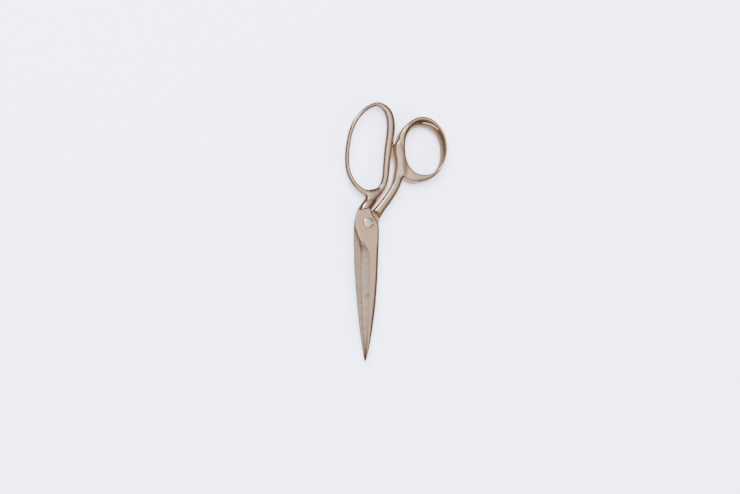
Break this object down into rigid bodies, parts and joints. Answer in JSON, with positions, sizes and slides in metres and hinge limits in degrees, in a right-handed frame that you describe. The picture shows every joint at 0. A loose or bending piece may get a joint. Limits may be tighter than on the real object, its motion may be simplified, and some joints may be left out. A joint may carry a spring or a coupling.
{
  "type": "bent-handle shears",
  "caption": "All-metal bent-handle shears with a long finger bow, a flared thumb bow and slim tapered blades that turn on a pivot screw.",
  "frame": {"origin": "on the pivot axis, at the flat end of the pivot screw, on the surface that the closed shears lie on", "axes": "+Z along the pivot axis towards the screw's head and the finger lever; +Y from the pivot towards the bows, with the tips at -Y; +X towards the thumb bow"},
  "size_m": [0.0731, 0.1816, 0.0116],
  "materials": {
    "polished_nickel": "polished warm nickel plate over forged steel, fine hairline scratches",
    "screw_steel": "polished nickel plate"
  },
  "bodies": {
    "thumb_half": {"thumb_lever": "polished_nickel", "pivot_screw": "screw_steel", "lock_nut": "screw_steel"},
    "finger_half": {"finger_lever": "polished_nickel"}
  },
  "joints": [
    {"name": "blade_pivot", "type": "hinge", "parent": "thumb_half", "child": "finger_half", "pos_m": [0, 0, 0.0062], "axis": [0, 0, 1], "range_deg": [0, 50]}
  ]
}
